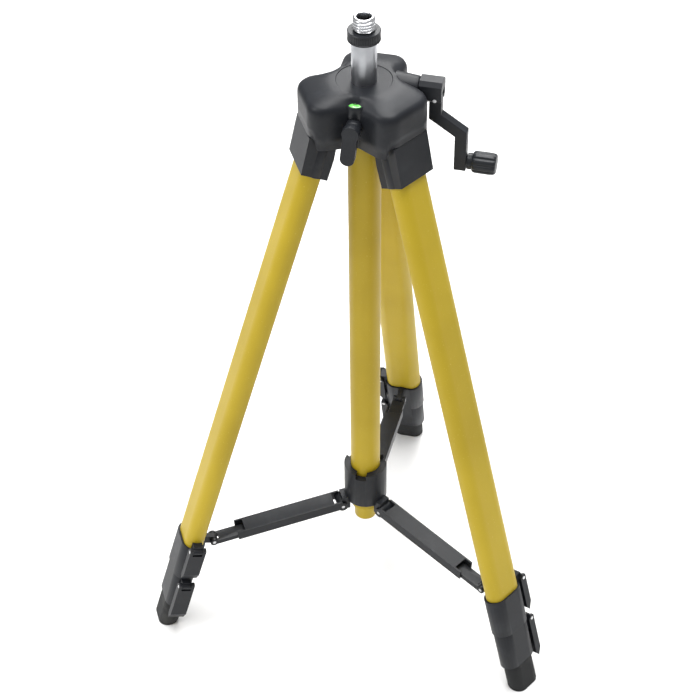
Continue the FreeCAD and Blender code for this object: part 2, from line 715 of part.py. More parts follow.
def build_crank():
    """Shaft with its pinion, folding fork, cranked arm and turning knob."""
    shaft = rod("shaft_radius", "shaft_inner + fork_start + shaft_grip", "-shaft_inner", GEAR_OFFSET,
                "crank_height", ALONG_X)
    teeth = []
    root = "(gear_module * (gear_teeth / 2 - 1.15))"
    for index in range(int(number("gear_teeth"))):
        corners = [("0", "-" + TOOTH_ROOT), (root, "-" + TOOTH_ROOT),
                   ("gear_module * gear_teeth / 2", "-" + TOOTH_PITCH), (GEAR_TIP, "-" + TOOTH_TIP),
                   (GEAR_TIP, TOOTH_TIP), ("gear_module * gear_teeth / 2", TOOTH_PITCH),
                   (root, TOOTH_ROOT), ("0", TOOTH_ROOT)]
        step = Rotation(Vector(0, 1, 0), index * 360 / number("gear_teeth"))
        teeth.append(turned(Placement(Vector(), step), plate(corners, "gear_half")))
    core = across_rod(root, "gear_half", "0", "0")
    pinion = fuse(core, *teeth)
    upright = Rotation(Vector(0, 0, 1), 90)
    pinion.Placement = Placement(Vector(0, number(GEAR_OFFSET), number("crank_height")), upright)
    finish(fuse(shaft, pinion), "crank_shaft")

    height, half = "(fork_high - fork_low)", "(fork_depth / 2)"
    block = new_body("fork")
    sketch = new_sketch(block, "YZ_Plane", "fork_start")
    low, high, trim = "fork_low", "fork_high", "fork_chamfer"
    left, right = "{g} - {h}".format(g=GEAR_OFFSET, h=half), "{g} + {h}".format(g=GEAR_OFFSET, h=half)
    draw_outline(sketch, [(left + " + " + trim, low), (right + " - " + trim, low),
                          (right, low + " + " + trim), (right, high + " - " + trim),
                          (right + " - " + trim, high), (left + " + " + trim, high),
                          (left, high + " - " + trim), (left, low + " + " + trim)])
    pad(block, sketch, "fork_end - fork_start")
    slot = box("fork_start + shaft_grip", GEAR_OFFSET + " - arm_depth / 2 - slide_gap",
               "fork_low - spare", "fork_end - fork_start", "arm_depth + 2 * slide_gap",
               "fold_pin_height - fork_low + fork_slot_rise + spare")
    pin_hole = rod("lever_pin_radius", "2 * fork_depth", "fold_pin_reach", GEAR_OFFSET + " - fork_depth",
                   "fold_pin_height", ALONG_Y)
    shaft_end = rod("shaft_radius", "shaft_grip", "fork_start", GEAR_OFFSET, "crank_height", ALONG_X)
    finish(cut(block, slot, shaft_end, pin_hole), "crank_fork")
    finish(rod("lever_pin_radius", "fork_depth", "fold_pin_reach", GEAR_OFFSET + " - fork_depth / 2",
               "fold_pin_height", ALONG_Y), "fold_pin")

    side = "arm_side / 2"
    corners = [("fold_pin_reach - " + side, "fold_pin_height"),
               ("fold_pin_reach - " + side, "arm_knee - arm_bend"),
               ("arm_reach - " + side, "arm_ankle - arm_bend"), ("arm_reach - " + side, "arm_foot"),
               ("arm_reach + " + side, "arm_foot"), ("arm_reach + " + side, "arm_ankle + arm_bend_out"),
               ("fold_pin_reach + " + side, "arm_knee + arm_bend_out"),
               ("fold_pin_reach + " + side, "fold_pin_height")]
    beside = Placement(Vector(0, number(GEAR_OFFSET), 0), Rotation())
    bar = turned(beside, plate(corners, "arm_depth / 2"))
    eye = rod(side, "arm_depth", "fold_pin_reach", GEAR_OFFSET + " - arm_depth / 2",
              "fold_pin_height", ALONG_Y)
    spindle = rod("shaft_radius", "spindle_length", "arm_reach", GEAR_OFFSET, "knob_height", ALONG_X)
    hole = rod("lever_pin_radius + pin_fit", "2 * fork_depth", "fold_pin_reach",
               GEAR_OFFSET + " - fork_depth", "fold_pin_height", ALONG_Y)
    finish(cut(fuse(bar, eye, spindle), hole), "crank_arm")
    start = "(arm_reach + arm_side / 2 + joint_gap)"
    neck = rod("knob_neck", "knob_step + joint_gap", start, GEAR_OFFSET, "knob_height", ALONG_X)
    grip = rod("knob_radius", "knob_length - knob_step", start + " + knob_step", GEAR_OFFSET,
               "knob_height", ALONG_X)
    hole = rod("shaft_radius + pin_fit", "spindle_length", "arm_reach + joint_gap", GEAR_OFFSET,
               "knob_height", ALONG_X)
    finish(cut(fuse(neck, grip), hole), "crank_knob")


def build_lock():
    """Clamping screw of the column and the lever that turns it."""
    back = "-(lock_lever_back + lock_lever_depth)"
    head = rod("lock_lever_radius", "lock_lever_depth", "0", back, "lock_height", ALONG_Y)
    narrow = "(lock_lever_radius - lock_lever_taper)"
    tip = rod(narrow, "lock_lever_depth", "0", back, "lock_lever_low + " + narrow, ALONG_Y)
    blade = box("-" + narrow, back, "lock_lever_low + " + narrow, "2 * " + narrow, "lock_lever_depth",
                "lock_height - lock_lever_low - " + narrow)
    hole = rod("lock_screw_radius", "lock_lever_depth - lock_lever_skin", "0",
               back + " + lock_lever_skin", "lock_height", ALONG_Y)
    lean = Rotation(Vector(0, 1, 0), number("lock_lean"))
    centre = Vector(0, 0, number("lock_height"))
    place = Placement(centre - lean.multVec(centre), lean)
    finish(cut(fuse(head, tip, blade), hole), "lock_lever", place)
    screw = rod("lock_screw_radius",
                "lock_lever_back + lock_lever_depth - lock_lever_skin - lock_screw_tip", "0",
                back + " + lock_lever_skin", "lock_height", ALONG_Y)
    finish(screw, "lock_screw")


def build_spreader():
    """Sliding hub, three open channels hinged on it and the forks hinged on the legs."""
    ring = revolved([("centre_radius + slide_gap", "hub_low"), ("hub_radius", "hub_low"),
                     ("hub_radius", "hub_high"), ("centre_radius + slide_gap", "hub_high")])
    lugs, notches, pins = [], [], []
    for azimuth in LEGS.values():
        lug = fuse(box("centre_radius + hub_lug_sink", "-hub_lug_half", "hub_pin_height - hub_eye",
                       "hub_pin_offset - centre_radius - hub_lug_sink", "2 * hub_lug_half",
                       "hub_low - hub_pin_height + hub_eye + hub_lug_lap"),
                   across_rod("hub_eye", "hub_lug_half", "hub_pin_offset", "hub_pin_height"))
        notch = box("0", "-hub_notch_half", "hub_high - hub_notch_depth", "hub_radius + spare",
                    "2 * hub_notch_half", "hub_notch_depth + spare")
        hole = across_rod("brace_pin_radius", "channel_half_width + spare",
                          "hub_pin_offset", "hub_pin_height")
        pin = across_rod("brace_pin_radius", "channel_half_width",
                         "hub_pin_offset", "hub_pin_height")
        lugs.append(turned(around(azimuth), lug))
        notches += [turned(around(azimuth + 60), notch), turned(around(azimuth), hole)]
        pins.append(turned(around(azimuth), pin))
    finish(cut(fuse(ring, *lugs), *notches), "hub_collar")
    finish(fuse(*pins), "hub_pins")

    rise = number("hub_pin_height - leg_lug_height")
    run = number("leg_lug_offset - hub_pin_offset")
    slope = Rotation(Vector(0, 1, 0), math.degrees(math.atan2(rise, run)))
    length = "sqrt((hub_pin_height - leg_lug_height)^2 + (leg_lug_offset - hub_pin_offset)^2)"
    for side, azimuth in LEGS.items():
        hub_end = around(azimuth) * Placement(
            Vector(number("hub_pin_offset"), 0, number("hub_pin_height")), slope)
        leg_end = around(azimuth) * Placement(
            Vector(number("leg_lug_offset"), 0, number("leg_lug_height")), slope)
        finish(build_channel(length), side + "_brace_channel", hub_end)
        finish(build_clevis(), side + "_brace_fork", leg_end)


def build_channel(length):
    """Channel open underneath, with an eye at each cheek's inner end."""
    inside = "(channel_half_width - channel_wall)"
    outer = box("0", "-channel_half_width", "-channel_drop", length + " - channel_short",
                "2 * channel_half_width", "channel_drop + channel_room + channel_wall")
    eye = across_rod("hub_eye", "channel_half_width", "0", "0")
    start, low = "-(hub_eye + spare)", "-(hub_eye + spare)"
    tall = "hub_eye + channel_room + channel_wall + 2 * spare"
    room = box(start, "-" + inside, low, "hub_eye + 2 * spare + " + length, "2 * " + inside,
               "hub_eye + spare + channel_room")
    inner = box(start, "-" + inside, low, "hub_eye + spare + web_start", "2 * " + inside, tall)
    far = box(length + " - web_short", "-" + inside, low, "web_short", "2 * " + inside, tall)
    hole = across_rod("brace_pin_radius + pin_fit", "channel_half_width + spare", "0", "0")
    return cut(fuse(outer, eye), room, inner, far, hole)


def build_clevis():
    """Fork on the leg's eye, with a broad flat shank that runs inside the channel."""
    shank = box("-shank_length", "-clevis_half_width", length="shank_length",
                width="2 * clevis_half_width", **SHANK)
    head = across_rod("leg_eye - clevis_trim", "clevis_half_width", "0", "0")
    gap = box("-clevis_gap", "-(leg_lug_half + slide_gap)", "-(leg_eye + spare)",
              "clevis_gap + leg_eye + spare", "2 * (leg_lug_half + slide_gap)", "2 * (leg_eye + spare)")
    hole = across_rod("brace_pin_radius + pin_fit", "clevis_half_width + spare", "0", "0")
    return cut(fuse(shank, head), gap, hole)


def check_and_write():
    doc.recompute()
    for item in doc.Objects:
        if {"Invalid", "Error"} & set(item.State):
            raise RuntimeError("%s (%s) failed: %s" % (item.Name, item.Label, item.State))
    os.makedirs("parts", exist_ok=True)
    for piece in finished:
        shape = piece.Shape
        if shape.isNull() or not shape.isValid() or shape.Volume < 1:
            raise RuntimeError("%s has no sound shape" % piece.Label)
        shape.exportStep("parts/%s.step" % piece.Label)
        bounds = shape.BoundBox
        print("%-24s solids %d  volume %9.1f  z %6.1f to %6.1f" % (
            piece.Label, len(shape.Solids), shape.Volume, bounds.ZMin, bounds.ZMax))


build_crown()
build_level()
build_centre()
build_column()
build_crank()
build_lock()
build_spreader()
for side, azimuth in LEGS.items():
    build_leg(side, azimuth)
check_and_write()
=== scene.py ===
"""Looks of the folding elevator tripod: materials, softened mouldings, thread, knurl, knob and level."""
import bpy
import bmesh
import math
from mathutils import Matrix, Vector


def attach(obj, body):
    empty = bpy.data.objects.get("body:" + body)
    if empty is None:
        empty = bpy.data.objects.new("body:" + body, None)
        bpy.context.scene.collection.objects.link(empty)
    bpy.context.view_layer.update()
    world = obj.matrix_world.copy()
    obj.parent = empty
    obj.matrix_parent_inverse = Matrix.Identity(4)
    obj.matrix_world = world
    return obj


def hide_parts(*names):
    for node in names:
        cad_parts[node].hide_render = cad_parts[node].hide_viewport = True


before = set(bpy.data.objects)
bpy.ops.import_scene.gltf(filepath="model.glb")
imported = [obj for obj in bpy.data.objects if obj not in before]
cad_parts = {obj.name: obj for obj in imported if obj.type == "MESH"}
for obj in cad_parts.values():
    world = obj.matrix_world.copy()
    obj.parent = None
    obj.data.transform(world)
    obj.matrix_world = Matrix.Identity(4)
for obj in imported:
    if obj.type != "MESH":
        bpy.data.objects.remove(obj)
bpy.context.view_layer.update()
MM = 0.001
SIDES = {"left": 210, "right": 330, "back": 90}


# ---------------------------------------------------------------- node groups

def new_group(name, inputs, outputs):
    """A shader node group with named sockets: (name, kind, first value)."""
    group = bpy.data.node_groups.new(name, "ShaderNodeTree")
    for label, kind, value in inputs:
        socket = group.interface.new_socket(label, in_out="INPUT", socket_type=kind)
        if value is not None:
            socket.default_value = value
    for label, kind in outputs:
        group.interface.new_socket(label, in_out="OUTPUT", socket_type=kind)
    start = group.nodes.new("NodeGroupInput")
    end = group.nodes.new("NodeGroupOutput")
    return group, start, end


def math_node(tree, operation, first, second):
    """A sum or a product of two values; each is a number or another node's output."""
    node = tree.nodes.new("ShaderNodeMath")
    node.operation = operation
    for index, value in enumerate((first, second)):
        if isinstance(value, (int, float)):
            node.inputs[index].default_value = value
        else:
            tree.links.new(value, node.inputs[index])
    return node.outputs[0]


def noise(tree, vector, scale, detail=4.0, rough=0.5):
    """Noise over a vector; the scale is a number or another node's output."""
    node = tree.nodes.new("ShaderNodeTexNoise")
    tree.links.new(vector, node.inputs["Vector"])
    if isinstance(scale, (int, float)):
        node.inputs["Scale"].default_value = scale
    else:
        tree.links.new(scale, node.inputs["Scale"])
    node.inputs["Detail"].default_value = detail
    node.inputs["Roughness"].default_value = rough
    return node.outputs["Fac"]


def spread(tree, value, low, high):
    """Stretch a narrow band of a value to the whole of 0 to 1."""
    node = tree.nodes.new("ShaderNodeMapRange")
    node.interpolation_type = "SMOOTHSTEP"
    node.inputs["From Min"].default_value = low
    node.inputs["From Max"].default_value = high
    tree.links.new(value, node.inputs["Value"])
    return node.outputs["Result"]


def make_mould_grain():
    """Fine spark-eroded grain, slow mould waviness and scattered rub marks."""
    group, start, end = new_group(
        "mould_grain",
        [("Vector", "NodeSocketVector", None), ("Grain", "NodeSocketFloat", 2200.0),
         ("Rub", "NodeSocketFloat", 0.35)],
        [("Height", "NodeSocketFloat"), ("Rub Mask", "NodeSocketFloat"), ("Tone", "NodeSocketFloat")])
    vector = start.outputs["Vector"]
    grain = noise(group, vector, start.outputs["Grain"], 2.0, 0.6)
    wave = noise(group, vector, 38.0, 2.0)
    slow = math_node(group, "MULTIPLY", wave, 0.6)
    height = math_node(group, "ADD", math_node(group, "MULTIPLY", grain, 0.5), slow)
    group.links.new(height, end.inputs["Height"])
    patches = spread(group, noise(group, vector, 55.0, 6.0, 0.62), 0.52, 0.74)
    rub = math_node(group, "MULTIPLY", patches, start.outputs["Rub"])
    group.links.new(rub, end.inputs["Rub Mask"])
    tone = spread(group, noise(group, vector, 24.0, 3.0), 0.3, 0.7)
    group.links.new(tone, end.inputs["Tone"])
    return group


def make_coat_texture():
    """Orange peel of a sprayed coat, with a slow drift of tone and a few fine specks."""
    group, start, end = new_group(
        "coat_texture",
        [("Vector", "NodeSocketVector", None), ("Peel", "NodeSocketFloat", 520.0)],
        [("Height", "NodeSocketFloat"), ("Drift", "NodeSocketFloat"), ("Speck", "NodeSocketFloat")])
    vector = start.outputs["Vector"]
    group.links.new(noise(group, vector, start.outputs["Peel"], 3.0, 0.5), end.inputs["Height"])
    group.links.new(spread(group, noise(group, vector, 9.0, 3.0), 0.3, 0.7), end.inputs["Drift"])
    speck = spread(group, noise(group, vector, 900.0, 1.0), 0.70, 0.78)
    group.links.new(speck, end.inputs["Speck"])
    return group


def make_drawn_lines():
    """Long faint lines along Z, as a drawing die leaves them, and turned haze."""
    group, start, end = new_group(
        "drawn_lines",
        [("Vector", "NodeSocketVector", None), ("Fineness", "NodeSocketFloat", 900.0)],
        [("Height", "NodeSocketFloat"), ("Haze", "NodeSocketFloat")])
    stretch = group.nodes.new("ShaderNodeMapping")
    stretch.inputs["Scale"].default_value = (1.0, 1.0, 0.02)
    group.links.new(start.outputs["Vector"], stretch.inputs["Vector"])
    lines = noise(group, stretch.outputs[0], start.outputs["Fineness"], 3.0, 0.65)
    group.links.new(lines, end.inputs["Height"])
    haze = spread(group, noise(group, start.outputs["Vector"], 70.0, 4.0), 0.3, 0.75)
    group.links.new(haze, end.inputs["Haze"])
    return group


MOULD_GRAIN = make_mould_grain()
COAT_TEXTURE = make_coat_texture()
DRAWN_LINES = make_drawn_lines()


# ---------------------------------------------------------------- materials

def new_material(name, colour, rough, metallic=0.0, **levels):
    """A Principled material, its Object coordinates, and the levels that are the same all over."""
    material = bpy.data.materials.new(name)
    material.use_nodes = True
    shader = material.node_tree.nodes["Principled BSDF"]
    shader.inputs["Base Color"].default_value = (*colour, 1)
    shader.inputs["Roughness"].default_value = rough
    shader.inputs["Metallic"].default_value = metallic
    for level, value in levels.items():
        shader.inputs[level.replace("_", " ")].default_value = value
    place = material.node_tree.nodes.new("ShaderNodeTexCoord")
    return material, shader, place.outputs["Object"]


def use_group(material, group, vector, **values):
    """A texture group placed in a material, with its levels set."""
    node = material.node_tree.nodes.new("ShaderNodeGroup")
    node.node_tree = group
    material.node_tree.links.new(vector, node.inputs["Vector"])
    for name, value in values.items():
        node.inputs[name].default_value = value
    return node.outputs


def mixed(material, fac, first, second):
    """Mix two colours by a mask; each is a colour or another node's output."""
    tree = material.node_tree
    mix = tree.nodes.new("ShaderNodeMix")
    mix.data_type = "RGBA"
    tree.links.new(fac, mix.inputs["Factor"])
    for socket, colour in ((mix.inputs[6], first), (mix.inputs[7], second)):
        if isinstance(colour, tuple):
            socket.default_value = (*colour, 1)
        else:
            tree.links.new(colour, socket)
    return mix.outputs[2]


def between(material, fac, low, high):
    """A number that goes from low to high with a mask."""
    tree = material.node_tree
    node = tree.nodes.new("ShaderNodeMapRange")
    tree.links.new(fac, node.inputs["Value"])
    node.inputs["To Min"].default_value = low
    node.inputs["To Max"].default_value = high
    return node.outputs["Result"]


def bumped(material, shader, height, strength, distance):
    """Let a height pattern tilt the surface's light."""
    bump = material.node_tree.nodes.new("ShaderNodeBump")
    bump.inputs["Strength"].default_value = strength
    bump.inputs["Distance"].default_value = distance
    material.node_tree.links.new(height, bump.inputs["Height"])
    material.node_tree.links.new(bump.outputs["Normal"], shader.inputs["Normal"])


def moulded(name, dark, light, rubbed, rough, grain=2200.0, rub=0.35):
    """Moulded plastic or rubber: tone drift, rubbed patches that are paler and smoother."""
    material, shader, vector = new_material(name, dark, rough, Specular_IOR_Level=0.26)
    out = use_group(material, MOULD_GRAIN, vector, Grain=grain, Rub=rub)
    colour = mixed(material, out["Tone"], dark, light)
    colour = mixed(material, out["Rub Mask"], colour, rubbed)
    link = material.node_tree.links.new
    link(colour, shader.inputs["Base Color"])
    link(between(material, out["Rub Mask"], rough, rough - 0.14), shader.inputs["Roughness"])
    bumped(material, shader, out["Height"], 0.35, 0.00012)
    return material


def coated(name, colour, deep, speck, rough):
    """Sprayed yellow coat on a drawn tube."""
    material, shader, vector = new_material(name, colour, rough, Specular_IOR_Level=0.3)
    out = use_group(material, COAT_TEXTURE, vector)
    tone = mixed(material, out["Drift"], colour, deep)
    tone = mixed(material, out["Speck"], tone, speck)
    link = material.node_tree.links.new
    link(tone, shader.inputs["Base Color"])
    link(between(material, out["Drift"], rough, rough + 0.09), shader.inputs["Roughness"])
    bumped(material, shader, out["Height"], 0.25, 0.00008)
    return material


def metal(name, colour, hazed, rough, fineness=900.0):
    """Bare or plated metal with drawing lines and a slightly duller haze."""
    material, shader, vector = new_material(name, colour, rough, metallic=1.0)
    out = use_group(material, DRAWN_LINES, vector, Fineness=fineness)
    link = material.node_tree.links.new
    link(mixed(material, out["Haze"], colour, hazed), shader.inputs["Base Color"])
    link(between(material, out["Haze"], rough, rough + 0.14), shader.inputs["Roughness"])
    bumped(material, shader, out["Height"], 0.18, 0.00005)
    return material


YELLOW = coated("yellow_coat", (0.520, 0.375, 0.014), (0.440, 0.315, 0.011), (0.58, 0.44, 0.05), 0.44)
YELLOW_PLUG = moulded("yellow_plug", (0.46, 0.33, 0.014), (0.52, 0.375, 0.016), (0.58, 0.44, 0.05), 0.5)
BLACK = moulded("black_moulding", (0.0090, 0.0102, 0.0130), (0.0135, 0.0150, 0.0185),
                (0.027, 0.030, 0.036), 0.44)
BLACK_SMOOTH = moulded("black_smooth", (0.0105, 0.0115, 0.0140), (0.016, 0.018, 0.021),
                       (0.032, 0.034, 0.038), 0.33, grain=900.0, rub=0.2)
RUBBER = moulded("foot_rubber", (0.0135, 0.0140, 0.0150), (0.021, 0.022, 0.022),
                 (0.052, 0.051, 0.047), 0.68, grain=1500.0, rub=0.5)
NYLON = moulded("white_nylon", (0.72, 0.72, 0.68), (0.80, 0.80, 0.76), (0.86, 0.86, 0.82), 0.4)
ALUMINIUM = metal("satin_aluminium", (0.50, 0.51, 0.53), (0.40, 0.41, 0.43), 0.30)
PLATED = metal("bright_plating", (0.78, 0.79, 0.81), (0.66, 0.67, 0.69), 0.12, 1500.0)
STEEL = metal("zinc_steel", (0.62, 0.62, 0.63), (0.48, 0.48, 0.49), 0.24, 1200.0)


# ---------------------------------------------------------------- mesh helpers

def piece_from(name, mesh_builder, body, material, smooth=50):
    """A finished piece at the origin from a function that fills a bmesh."""
    build = bmesh.new()
    mesh_builder(build)
    bmesh.ops.remove_doubles(build, verts=build.verts, dist=1e-6)
    bmesh.ops.recalc_face_normals(build, faces=build.faces)
    mesh = bpy.data.meshes.new(name)
    build.to_mesh(mesh)
    build.free()
    mesh.shade_smooth()
    mesh.set_sharp_from_angle(angle=math.radians(smooth))
    mesh.materials.append(material)
    piece = bpy.data.objects.new(name, mesh)
    bpy.context.collection.objects.link(piece)
    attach(piece, body)
    return piece


def paint(node, material):
    """Give a CAD node its finish."""
    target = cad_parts[node]
    target.data.materials.clear()
    target.data.materials.append(material)
    return target


def soften(node, material, width, segments=3, angle=28):
    """A CAD node with its finish and its edges rounded, as a mould or a tumbler leaves them."""
    target = paint(node, material)
    weld = target.modifiers.new("weld", "WELD")
    weld.merge_threshold = 1e-6
    flat = target.modifiers.new("flat", "DECIMATE")
    flat.decimate_type = "DISSOLVE"
    flat.angle_limit = math.radians(1.0)
    bevel = target.modifiers.new("bevel", "BEVEL")
    bevel.width = width
    bevel.segments = segments
    bevel.limit_method = "ANGLE"
    bevel.angle_limit = math.radians(angle)
    bevel.harden_normals = True
    bevel.use_clamp_overlap = True
    return target


def ring_of(build, radius_at, height_at, count):
    """A closed ring of edges round Z; its radius and height are functions of the angle."""
    verts = []
    for index in range(count):
        turn = 2 * math.pi * index / count
        reach = radius_at(turn)
        spot = (reach * math.cos(turn), reach * math.sin(turn), height_at(turn))
        verts.append(build.verts.new(spot))
    return [build.edges.new((verts[index - 1], verts[index])) for index in range(count)]


def skin_rings(build, rings):
    """Bridge each ring to the next one."""
    for first, second in zip(rings, rings[1:]):
        bmesh.ops.bridge_loops(build, edges=first + second)


def turned_profile(build, profile, matrix=Matrix.Identity(4), steps=96):
    """A turned piece from (radius, height) points in millimetres, spun about Z, then set in place."""
    start = len(build.verts)
    verts = [build.verts.new((radius * MM, 0, height * MM)) for radius, height in profile]
    edges = [build.edges.new(pair) for pair in zip(verts, verts[1:])]
    bmesh.ops.spin(build, geom=verts + edges, cent=(0, 0, 0), axis=(0, 0, 1),
                   angle=2 * math.pi, steps=steps, use_merge=True)
    bmesh.ops.remove_doubles(build, verts=build.verts[:], dist=1e-7)
    build.verts.ensure_lookup_table()
    bmesh.ops.transform(build, matrix=matrix, verts=build.verts[start:])


def along(axis, spot):
    """A placement that turns Z to an axis and moves the origin to a spot in metres."""
    turn = Vector((0, 0, 1)).rotation_difference(Vector(axis)).to_matrix().to_4x4()
    return Matrix.Translation(spot) @ turn


# ---------------------------------------------------------------- crown

LOBE_TURN = math.radians(120)
LOBE_REACH, LOBE_HALF, LOBE_CORNER, WAIST_ROUND = 43.5, 21.5, 10.0, 12.0
CROWN_LOW, EDGE_HIGH, DOME_HIGH = 487.0, 519.6, 523.9
CROWN_WALL, CROWN_STEPS = 2.6, 240
DOME_INSET, DOME_REACH = 3.4, 22.0
INSET_START, INSET_FADE = 21.5, 6
GATE_RISE, GATE_SIDES, GATE_FRONT = 9.2, (17.8, 19.2), (31, 33)


def from_lobe(turn):
    """Angle from the middle of the nearest lobe."""
    return (turn - math.radians(90) + LOBE_TURN / 2) % LOBE_TURN - LOBE_TURN / 2


def crown_outline(turn):
    """Radius of the three-lobed outline at an angle, in millimetres."""
    angle = abs(from_lobe(turn))
    cosine, sine = math.cos(angle), math.sin(angle)
    end = LOBE_REACH / cosine
    if end * sine <= LOBE_HALF - LOBE_CORNER:
        return end
    middle = (LOBE_REACH - LOBE_CORNER, LOBE_HALF - LOBE_CORNER)
    dot = middle[0] * cosine + middle[1] * sine
    root = dot * dot - middle[0] ** 2 - middle[1] ** 2 + LOBE_CORNER ** 2
    if root > 0:
        corner = dot + math.sqrt(root)
        if corner * cosine >= middle[0] - 1e-6:
            return corner
    side = LOBE_HALF / sine
    away = (LOBE_HALF + WAIST_ROUND) / math.sin(math.radians(60))
    dot = away * math.cos(math.radians(60) - angle)
    root = dot * dot - away ** 2 + WAIST_ROUND ** 2
    if root > 0:
        waist = dot - math.sqrt(root)
        touch = away * math.cos(math.radians(60))
        if waist * cosine <= touch:
            return waist
    return side


def step_up(value, low, high):
    """A soft step from 0 at low to 1 at high."""
    share = min(max((value - low) / (high - low), 0.0), 1.0)
    return share * share * (3 - 2 * share)


def crown_foot(turn):
    """Height of the crown's lower edge: it rises over the shoulder of each leg cap."""
    angle = from_lobe(turn)
    reach = crown_outline(turn)
    across, out = abs(reach * math.sin(angle)), reach * math.cos(angle)
    gate = (1 - step_up(across, *GATE_SIDES)) * step_up(out, *GATE_FRONT)
    return CROWN_LOW + GATE_RISE * gate


def drawn_in(turn, inset):
    """The outline moved in by an inset, which gets smaller towards the waists."""
    outline = crown_outline(turn)
    return outline - min(inset, inset * (outline - INSET_START) / INSET_FADE)


def build_crown_shell(build):
    """Domed three-lobed shell with a raised ring round the column."""
    profile = [(0, 0.0), (0, 0.35), (0.0, 0.80), (0.15, 0.885), (0.6, 0.94), (1.3, 0.975), (2.4, 1.0)]
    rings = []
    for inset, share in profile:
        def reach(turn, inset=inset):
            return drawn_in(turn, inset) * MM

        def height(turn, share=share):
            return (crown_foot(turn) + (EDGE_HIGH - crown_foot(turn)) * share) * MM
        rings.append(ring_of(build, reach, height, CROWN_STEPS))
    for share in (0.2, 0.45, 0.7, 0.88):
        def dome_reach(turn, share=share):
            edge = drawn_in(turn, DOME_INSET)
            return (edge + (DOME_REACH - edge) * share) * MM

        def dome_height(turn, share=share):
            return (EDGE_HIGH + (DOME_HIGH - EDGE_HIGH) * math.sin(share * math.pi / 2)) * MM
        rings.append(ring_of(build, dome_reach, dome_height, CROWN_STEPS))
    collar = [(21.6, DOME_HIGH), (21.3, 523.5), (21.0, 523.5), (20.8, 524.0), (20.7, 525.0), (20.3, 525.5),
              (19.6, 525.5), (18.8, 525.1), (16.0, 524.2), (13.0, 523.5), (10.6, 523.2), (10.0, 522.8),
              (9.7, 522.0), (9.7, 508.0)]
    for radius, level in collar:
        rings.append(ring_of(build, lambda turn, r=radius: r * MM, lambda turn, z=level: z * MM,
                             CROWN_STEPS))
    skin_rings(build, rings)


WEB_AZIMUTHS = (30, 150, 270)
WEB_SIZE, WEB_SPOT = (8.5, 3, 26), (21.3, 0, 503.5)
SEAT_SIZE, SEAT_OUT, SEAT_ASIDE, SEAT_HIGH = (12, 1.6, 22), 31, 19.2, 503


def add_block(build, size, spot, azimuth):
    """A block, in millimetres, turned about Z to an azimuth in degrees."""
    block = bmesh.ops.create_cube(build, size=1.0)["verts"]
    bmesh.ops.scale(build, vec=[side * MM for side in size], verts=block)
    bmesh.ops.translate(build, vec=[place * MM for place in spot], verts=block)
    bmesh.ops.rotate(build, cent=(0, 0, 0), verts=block,
                     matrix=Matrix.Rotation(math.radians(azimuth), 3, "Z"))


def build_crown_core(build):
    """Bored boss under the dome, the webs to the shell and the seats of the leg pins."""
    turned_profile(build, [(12.55, 487.6), (17.0, 487.6), (17.5, 488.1), (17.5, 518.0), (12.55, 518.0),
                           (12.55, 487.6)])
    for azimuth in WEB_AZIMUTHS:
        add_block(build, WEB_SIZE, WEB_SPOT, azimuth)
    for azimuth in SIDES.values():
        for side in (-1, 1):
            add_block(build, SEAT_SIZE, (SEAT_OUT, side * SEAT_ASIDE, SEAT_HIGH), azimuth)


SHAFT_SPOT = (0.0, 0.0134, 0.516)
LOCK_SPOT = (0.0, 0.0, 0.5065)


def build_bearing(build):
    """Tapered bearing boss of the crank shaft on the crown's side."""
    profile = [(3.1, 20.0), (10.2, 20.0), (9.6, 27.0), (8.9, 34.0), (8.6, 36.6), (8.2, 37.4), (7.6, 37.7),
               (4.2, 37.7), (3.9, 37.2), (3.1, 37.0), (3.1, 20.0)]
    turned_profile(build, profile, along((1, 0, 0), SHAFT_SPOT))


def build_lock_boss(build):
    """Tapered boss that holds the clamp screw of the column lock."""
    profile = [(3.1, 18.0), (6.6, 18.0), (6.2, 27.0), (5.7, 33.5), (5.5, 35.2), (5.1, 35.8), (4.6, 36.0),
               (3.6, 36.0), (3.1, 35.6), (3.1, 18.0)]
    turned_profile(build, profile, along((0, -1, 0), LOCK_SPOT))


def build_crown():
    """The crown's shell, which stands in for the CAD crown, and what is fixed in it."""
    shell = piece_from("crown_shell", build_crown_shell, "frame", BLACK, smooth=40)
    thick = shell.modifiers.new("wall", "SOLIDIFY")
    thick.thickness = CROWN_WALL * MM
    thick.offset = -1
    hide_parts("crown_body")
    piece_from("crown_core", build_crown_core, "frame", BLACK)
    piece_from("crown_bearing", build_bearing, "frame", BLACK, smooth=35)
    piece_from("crown_lock_boss", build_lock_boss, "frame", BLACK, smooth=35)


# ---------------------------------------------------------------- bubble level

LEVEL_SPOT = (0.0, -0.024, 0.0)
BUBBLE_RADIUS, BUBBLE_FLATNESS, BUBBLE_HIGH = 1.9, 0.16, 521.75
BUBBLE_ASIDE, BUBBLE_BACK = 0.4, 0.5


def build_level_cup(build):
    """Cup of the level, with a rounded lip round the vial."""
    profile = [(0, 510.5), (6.6, 510.5), (7.4, 511.2), (7.85, 512.5), (7.85, 520.4), (7.6, 521.3),
               (7.1, 521.8), (6.75, 521.7), (6.5, 521.2), (6.45, 515.0), (0, 515.0)]
    turned_profile(build, profile, Matrix.Translation(LEVEL_SPOT), 64)


def build_vial(build):
    """Green liquid seen through a low dome."""
    profile = [(0, 515.1), (6.4, 515.1), (6.4, 520.5), (6.0, 521.1), (4.6, 521.6), (2.4, 521.85),
               (0, 521.9)]
    turned_profile(build, profile, Matrix.Translation(LEVEL_SPOT), 64)


def build_target_ring(build):
    """Fine dark ring that the bubble is centred in."""
    profile = [(2.55, 521.86), (2.95, 521.84), (2.95, 521.99), (2.55, 522.01), (2.55, 521.86)]
    turned_profile(build, profile, Matrix.Translation(LEVEL_SPOT), 48)


